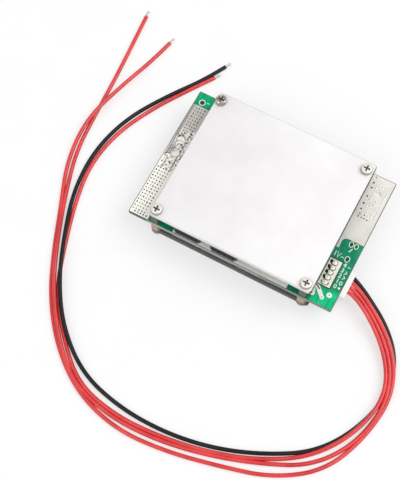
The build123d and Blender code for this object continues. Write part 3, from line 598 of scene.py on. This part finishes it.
# The right land's holes: open ones along the plate, small ones in front, and round the bore
# a field that solder filled, so that only faint dimples show
OPEN_HOLES = [(32.11, 23.6), (32.29, 21.5), (32.26, 17.8), (32.28, 14.8), (32.39, 12.4)]
SMALL_HOLES = [(32.08, 25.9), (32.67, 9.4), (33.84, 9.4), (34.97, 9.4), (36.06, 9.3), (
    32.8, 10.5), (34.5, 10.6)]
filled_holes = []
for row in range(12):
    for column in range(5):
        x = 33.55 + COLUMN_PITCH * column + chance.uniform(-0.12, 0.12)
        y = 10.75 + RIGHT_ROW_PITCH * row + chance.uniform(-0.12, 0.12)
        shows = chance.random() < 0.68
        if shows and math.dist((x, y), RIGHT_HOLE) > 2.2:
            filled_holes.append((x, y))
CORNER_HOLES = [(30.9, -23.99), (34.55, -23.93), (36.52, -22.06)]
CORNER_DOT = [(38.28, -18.27)]

plated_holes = plated_hole_tree()
for name, places, bore, rim, height, spread, seed, rim_finish, bore_finish in (
    # For open holes the bore finish is painted shade, in the dark bore tone or the dried flux
    # finish
    ("left_land_holes", left_holes, 0.27, 0.12, 0.04, 0.18, 3, left_tin, bore_shade),
    ("right_land_open_holes", OPEN_HOLES, 0.35, 0.12, 0.04, 0.08, 6, tinned, dried_flux),
    ("right_land_holes", SMALL_HOLES, 0.25, 0.14, 0.04, 0.15, 5, tinned, bore_shade),
    ("right_land_filled_holes", filled_holes, 0.17, 0.2, 0.04, 0.3, 8, bright, shunt_metal),
    ("corner_trace_holes", CORNER_HOLES, 0.22, 0.2, 0.04, 0.05, 2, bright, bore_shade),
    ("corner_dot", CORNER_DOT, 0.2, 0.25, 0.05, 0.05, 4, bright, tinned),
):
    grown_piece(name, places, plated_holes, {
        "Bore Radius": bore * MM, "Rim Width": rim * MM, "Rim Height": height * MM,
        "Size Spread": spread, "Seed": seed, "Rim Finish": rim_finish,
        "Bore Finish": bore_finish})

# The solder dragged round the left terminal, as a skin that follows its own height
SMEAR_LEFT, SMEAR_RIGHT, SMEAR_FRONT, SMEAR_BACK = -39.2, -32.0, -7.4, 11.6
SMEAR_STEP = 0.16
SMEAR_FOOT = LAND_TOP - 0.06


# Soot and flux stayed in lines and spots between the lumps, and one line of painted shade runs
# along the plate's left edge
SOOT_AND_SHADE_LINES = [
    ((-37.5, -6.9), (-37.4, -2.3), 0.36), ((-36.2, 9.2), (-37.9, 6.7), 0.5),
    # The line at x -34.15, by the plate's edge, is painted shade over the column of holes there
    ((-39.3, -1.4), (-37.8, -0.4), 0.4), ((-34.15, -7.0), (-34.15, 11.5), 0.34),
    ((-38.5, 11.0), (-38.4, 6.8), 0.28), ((-37.6, 5.8), (-37.0, 2.2), 0.22)]
SOOT_SPOTS = [(-35.4, -3.8, 0.5), (-35.3, -6.6, 0.5), (-35.2, 4.35, 0.5), (-35.5, 7.6, 0.45), (
    -37.0, -2.8, 0.45), (-36.4, -5.2, 0.35), (-36.6, 3.3, 0.35), (-36.3, -1.9, 0.35)]


def film_share(x, y):
    """How far the smooth grey film covers a place, from 0 to 1."""
    edge = -38.4 + 1.3 * max(0.0, min(1.0, (6.5 - y) / 5.0))
    return max(0.0, min(1.0, (edge - x) / 0.25)) * max(0.0, min(1.0, (y + 1.0) / 0.5))


def smear_height(x, y):
    """The dragged solder's height over its foot."""
    off_hole = math.dist((x, y), LEFT_HOLE)
    ends = min(1.0, (y - SMEAR_FRONT) / 3.0, (SMEAR_BACK - y) / 4.0)
    sides = min(1.0, (x - SMEAR_LEFT) / 0.5, (SMEAR_RIGHT - x) / 0.4)
    # In front of the hole the outer column of plated holes stays clear of it
    clear = min(1.0, (x + 38.5) / 0.4) if y < -1.8 else 1.0
    lumps = 0.4 + 1.3 * noise.fractal(Vector((x * 0.85, y * 0.85, 3.0)), 0.9, 2.1, 3)
    collar = 0.3 * math.exp(-((off_hole - 2.3) / 0.8) ** 2)
    rough = 1.0 - film_share(x, y)
    height = max(0.0, ends) * max(0.0, sides) * max(
        0.0, clear) * (0.26 * lumps * rough + collar * rough + 0.08)
    return max(0.0, height)


def smear_flux(x, y):
    """How much brown flux, and painted shade by the plate's edge, lies on the dragged solder, from
    0 to 1.
    """
    here = Vector((x, y))
    speck = noise.fractal(Vector((x * 1.5, y * 1.5, 7.0)), 0.8, 2.2, 3)
    soot = max(1.3 - (here - Vector(spot[:2])).length / spot[2] for spot in SOOT_SPOTS)
    for start, end, width in SOOT_AND_SHADE_LINES:
        start, run = Vector(start), Vector(end) - Vector(start)
        share = max(0.0, min(1.0, (here - start).dot(run) / run.length_squared))
        soot = max(soot, 1.2 - (here - start - run * share).length / width)
    broken = 0.8 + 0.9 * noise.noise(Vector((x * 1.1, y * 1.3, 5.0)))
    rim = math.exp(-((math.dist((x, y), LEFT_HOLE) - 1.75) / 0.35) ** 2)
    specks = max(0.0, 5.0 * (speck - 0.24)) * (1.0 - film_share(x, y))
    amount = specks + max(0.0, soot) * broken + 0.25 * rim
    return min(1.0, max(0.0, amount))


skin = bmesh.new()
flux_layer = skin.verts.layers.float.new("flux")
film_layer = skin.verts.layers.float.new("film")
columns = round((SMEAR_RIGHT - SMEAR_LEFT) / SMEAR_STEP)
rows = round((SMEAR_BACK - SMEAR_FRONT) / SMEAR_STEP)
grid = {}
for i in range(columns + 1):
    for j in range(rows + 1):
        x, y = SMEAR_LEFT + SMEAR_STEP * i, SMEAR_FRONT + SMEAR_STEP * j
        away = Vector((x - LEFT_HOLE[0], y - LEFT_HOLE[1]))
        # The ring of points just outside the hole lies on its edge
        if away.length < HOLE_RADIUS + 0.75 * SMEAR_STEP:
            away = away.normalized() * (HOLE_RADIUS + 0.02)
            x, y = LEFT_HOLE[0] + away.x, LEFT_HOLE[1] + away.y
        grid[i, j] = skin.verts.new((x * MM, y * MM, SMEAR_FOOT * MM))
for i in range(columns):
    for j in range(rows):
        middle = (SMEAR_LEFT + SMEAR_STEP * (i + 0.5), SMEAR_FRONT + SMEAR_STEP * (j + 0.5))
        if math.dist(middle, LEFT_HOLE) > HOLE_RADIUS + 0.4 * SMEAR_STEP:
            skin.faces.new((grid[i, j], grid[i + 1, j], grid[i + 1, j + 1], grid[i, j + 1]))
bmesh.ops.delete(skin, geom=[v for v in skin.verts if not v.link_faces], context="VERTS")
lifted = bmesh.ops.extrude_face_region(skin, geom=skin.faces[:])["geom"]
for vertex in (item for item in lifted if isinstance(item, bmesh.types.BMVert)):
    x, y = vertex.co.x / MM, vertex.co.y / MM
    vertex.co.z += (0.02 + smear_height(x, y)) * MM
    vertex[flux_layer] = smear_flux(x, y)
    vertex[film_layer] = film_share(x, y)
keep_shape("terminal_solder", skin, dragged, smooth=True)


# Painted shade round the pins' solder: low dark beads with an uneven outline beside four of them,
# and thin grey-brown rings round each foot
def drop(shape, x, y, width, depth, height, seed):
    """Adds a low drop that stands on the board."""
    made = bmesh.ops.create_icosphere(shape, subdivisions=3, radius=1.0)["verts"]
    for vertex in made:
        uneven = 1.0 + 0.25 * noise.noise(Vector((vertex.co.x * 1.6, vertex.co.y * 1.6, seed)))
        vertex.co = (
            (x + vertex.co.x * width / 2 * uneven) * MM,
            (y + vertex.co.y * depth / 2 * uneven) * MM,
            (BOARD_TOP + 0.02 + vertex.co.z * height) * MM)


PIN_X, PIN_ROWS = 32.92, (-10.53, -12.53, -14.53, -16.53, -18.53)
# Painted shade: dark beads in the dried flux finish on the left of the four back joints, away from
# the key lamp
SHADE_DROPS_BESIDE_PINS = [(31.84, -10.2), (31.8, -12.27), (31.85, -14.34), (31.88, -16.29)]
shade_drops = bmesh.new()
for number, (x, y) in enumerate(SHADE_DROPS_BESIDE_PINS):
    drop(shade_drops, x - 0.1, y, 1.0, 1.3, 0.2, 3.0 * number)
keep_shape("painted_shade_beside_pins", shade_drops, dried_flux, smooth=True)
# Painted shade: a thin grey-brown ring round each joint's foot
rings = bmesh.new()
for number, y in enumerate(PIN_ROWS):
    drop(rings, PIN_X + 0.05, y, 2.9, 2.15, 0.07, 2.0 * number + 1.0)
keep_shape("painted_shade_rings", rings, shade_ring_finish, smooth=True)

# ---------------------------------------------------------------- print on the board
INK_FOOT = BOARD_TOP - 0.01
INK_TOP = BOARD_TOP + 0.03


def ink_stroke(shape, points, width, closed=False):
    """Adds one stroke of ink: a flat mitred ribbon along its points."""
    points = [Vector(point) for point in points]
    rings = []
    for number, here in enumerate(points):
        before = points[number - 1] if closed or number else here
        after = points[(number + 1) % len(points)] if closed or number < len(points) - 1 else here
        runs = [(b - a).normalized() for a, b in ((before, here), (here, after)) if a != b]
        way = sum(runs, Vector((0.0, 0.0))).normalized()
        side = Vector((-way.y, way.x)) * width / 2 / max(0.5, way.dot(runs[0]))
        rings.append([
            shape.verts.new((spot.x * MM, spot.y * MM, level * MM))
            for spot, level in ((here + side, INK_FOOT), (here + side, INK_TOP),
                                (here - side, INK_TOP), (here - side, INK_FOOT))
        ])
    following = rings[1:] + rings[:1] if closed else rings[1:]
    for ring, after in zip(rings, following):
        for k in range(4):
            shape.faces.new((ring[k], ring[k - 1], after[k - 1], after[k]))
    if not closed:
        shape.faces.new(rings[0])
        shape.faces.new(rings[-1])


def oval(x, y, width, depth, count=24):
    """Points round an oval."""
    turns = [2 * math.pi * k / count for k in range(count)]
    return [(x + width / 2 * math.cos(a), y + depth / 2 * math.sin(a)) for a in turns]


def raised_field(name, outline, top, finish):
    """A thin field with the given outline, its upper edges eased."""
    shape = bmesh.new()
    feet = [shape.verts.new((x * MM, y * MM, INK_FOOT * MM)) for x, y in outline]
    raised = bmesh.ops.extrude_face_region(shape, geom=[shape.faces.new(feet)])["geom"]
    for vertex in (item for item in raised if isinstance(item, bmesh.types.BMVert)):
        vertex.co.z = top * MM
    upper = [edge for edge in shape.edges if all(v.co.z > (top - 0.005) * MM for v in edge.verts)]
    bmesh.ops.bevel(shape, geom=upper, offset=0.01 * MM, segments=1, affect="EDGES")
    keep_shape(name, shape, finish)


# A filled field under the header's joints, a dark gap in the copper round it, and plain
# outline marks on the green
raised_field("header_print_field", [(30.9, -9.05), (35.4, -9.05), (35.4, -19.7), (
    30.9, -19.7)], BOARD_TOP + 0.02, ink)
gap = bmesh.new()
ink_stroke(gap, [(31.0, -8.9), (35.62, -8.9), (35.62, -19.92), (31.0, -19.92)], 0.42)
keep_shape("header_field_gap", gap, bare_gap)
# Solder fills the corner between the right land and its narrow tail in a curve
raised_field("tail_corner", [(31.6, -0.1), (31.6, -1.9), (31.78, -1.2), (32.2, -0.65), (
    32.75, -0.35), (33.4, -0.1)], LAND_TOP - 0.01, tinned)
# Soot lies in a line on the bent trace
soot = bmesh.new()
ink_stroke(soot, [(30.5, -20.25), (31.6, -20.75), (32.6, -21.6)], 0.42)
bmesh.ops.translate(soot, verts=soot.verts, vec=(0, 0, 0.09 * MM))
keep_shape("trace_soot", soot, dried_flux)
# The left land's back end runs on past its plated copper as a solder-wetted margin
raised_field("left_land_margin", [(-39.25, 20.2), (-31.95, 20.2), (-31.95, 21.1), (-32.3, 21.4), (
    -39.0, 21.4), (-39.25, 21.15)], LAND_TOP - 0.01, left_tin)

marks = bmesh.new()
THIN, BROAD = 0.26, 0.34
for points, width, closed in (
    (oval(35.2, -1.5, 1.5, 2.1), THIN, True),
    (oval(37.1, -1.5, 1.3, 1.9), THIN, True),
    ([(35.5, -4.5), (36.3, -2.9)], BROAD, False),
    (oval(36.3, -7.2, 1.6, 2.2), THIN, True),
    ([(33.9, -7.3), (35.0, -7.3)], THIN, False),
    ([(31.6, -7.9), (31.6, -5.9)], BROAD, False),
    ([(32.3, -5.9), (32.8, -7.9), (33.5, -6.1)], THIN, False),
    ([(37.7, -9.8), (38.7, -9.8)], THIN, False),
    ([(37.6, -12.8), (38.5, -12.1), (37.8, -11.5)], THIN, False),
    ([(37.7, -14.7), (38.5, -14.0), (37.8, -13.3)], THIN, False),
    (oval(38.1, -16.3, 0.9, 1.3, 14), THIN, True),
    (oval(-36.6, 23.1, 2.2, 2.2, 10), BROAD, True),
    ([(-35.0, 23.7), (-34.0, 23.8)], BROAD, False),
):
    ink_stroke(marks, points, width, closed)
keep_shape("outline_marks", marks, mark_ink)


for name, x, y, width, depth in (
        ("left_mark_field", -36.6, 23.1, 1.7, 1.7), ("first_mark_field", 35.2, -1.5, 1.2, 1.8),
        ("second_mark_field", 37.1, -1.5, 1.0, 1.6), ("third_mark_field", 36.3, -7.2, 1.3, 1.9)):
    raised_field(name, oval(x, y, width, depth, 14), BOARD_TOP + 0.02, bare_gap)


# A plain number beside each pin
def number_mesh(text, x, y, height):
    """A number as flat raised ink, its middle at x, y."""
    line = bpy.data.curves.new("number", "FONT")
    line.body = text
    line.size = height * MM
    line.align_x = "CENTER"
    line.align_y = "CENTER"
    line.extrude = 0.015 * MM
    line.offset = 0.03 * MM
    line.resolution_u = 3
    mesh = final_mesh(bpy.data.objects.new("number", line))
    mesh.transform(Matrix.Translation(Vector((x, y, BOARD_TOP + 0.012)) * MM))
    return mesh


numbers = bmesh.new()
for text, x, y in (("4", 36.55, -9.6), ("3", 36.65, -11.75), ("2", 36.65, -13.9), (
        "1", 36.7, -16.0), ("0", 36.8, -18.15)):
    numbers.from_mesh(number_mesh(text, x, y, 2.3))
keep_shape("pin_numbers", numbers, mark_ink)


# ---------------------------------------------------------------- the leads' bare ends
def twisted_strands(route, length):
    """Seven tinned strands, six of them laid in a slow twist round the first."""
    end, before = Vector(route[-1]), Vector(route[-2])
    way = (end - before).normalized()
    across = way.cross(Vector((0, 0, 1))).normalized()
    above = across.cross(way)
    shape = bmesh.new()
    rings, sides, radius = 14, 8, 0.15
    for number in range(7):
        spread = 0.3 if number else 0.0
        previous = None
        for k in range(rings + 1):
            share = k / rings
            # The cut ends fan out a little and stop at slightly different lengths
            reach = length * share * (1.0 - 0.04 * (number % 3)) - 0.3 * (1 - share)
            turn = math.pi / 3 * number + 1.9 * share
            spot = end + way * reach + (across * math.cos(turn) + above * math.sin(turn)) * (
                spread * (1.0 + 0.12 * share))
            ring = []
            for s in range(sides):
                angle = 2 * math.pi * s / sides
                ring.append(shape.verts.new((spot + (across * math.cos(angle) + above * math.sin(
                    angle)) * radius) * MM))
            if previous:
                for s in range(sides):
                    shape.faces.new((previous[s - 1], previous[s], ring[s], ring[s - 1]))
            else:
                shape.faces.new(ring)
            previous = ring
        shape.faces.new(previous)
    return shape


for wire, route in ROUTES.items():
    name = wire.replace("wire", "strands")
    keep_shape(name + "_twisted", twisted_strands(
        route, BARE_LENGTH), strand, smooth=True)
    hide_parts(name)

for wire, lead in leads.items():
    black = wire == "black_wire"
    lead.data.materials.append(black_pvc if black else red_pvc)
    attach(lead, "root")
    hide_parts(wire)


# ---------------------------------------------------------------- floor, light
def studio_paper():
    """White paper that the camera and reflections see near white, though it still takes
    the object's shadow."""
    material, add, coords = new_material("white studio paper")
    fibres = add("TexNoise", {"Vector": coords, "Scale": 40.0, "Detail": 2.0})
    tone = add("ValToRGB", {"Fac": fibres}, [(0.3, "#F3F3F4"), (0.7, "#F6F6F7")])
    paper = add("BsdfPrincipled", {
        "Base Color": tone, "Roughness": 0.9, "Specular IOR Level": 0.1})
    ray = add("LightPath").outputs
    seen = add("Math", {0: ray["Is Camera Ray"], 1: ray["Is Glossy Ray"]}, operation="MAXIMUM")
    seen = add("Math", {0: seen, 1: ray["Is Transmission Ray"]}, operation="MAXIMUM")
    share = add("Math", {0: seen, 1: 0.55}, operation="MULTIPLY")
    glow = add("Emission", {"Color": "#FFFFFF", "Strength": 1.0})
    mixed = add("MixShader", {0: share, 1: paper, 2: glow})
    add("OutputMaterial", {"Surface": mixed})
    return material


floor_mesh = bpy.data.meshes.new("floor")
floor_mesh.from_pydata([(-3, -3, 0), (3, -3, 0), (3, 3, 0), (-3, 3, 0)], [], [(0, 1, 2, 3)])
floor_mesh.materials.append(studio_paper())
floor = bpy.data.objects.new("floor", floor_mesh)
link_object(floor)

world = bpy.data.worlds.new("studio")
bpy.context.scene.world = world
world.use_nodes = True
world.node_tree.nodes.clear()
sky = add_node(world.node_tree, "Background", {"Color": "#FFFFFF", "Strength": 0.68})
add_node(world.node_tree, "OutputWorld", {"Surface": sky})


def area_lamp(name, place, size, power):
    """A square soft lamp that faces the board's middle."""
    data = bpy.data.lights.new(name, "AREA")
    data.shape = "SQUARE"
    data.size = size
    data.energy = power
    lamp = bpy.data.objects.new(name, data)
    lamp.location = place
    lamp.rotation_euler = (-Vector(place)).to_track_quat("-Z", "Y").to_euler()
    link_object(lamp)


area_lamp("key lamp", (0.6, 0.3, 1.0), 0.9, 6.6)
area_lamp("fill lamp", (-0.4, -0.7, 0.9), 0.9, 2.8)

bpy.context.scene.view_settings.view_transform = "Standard"
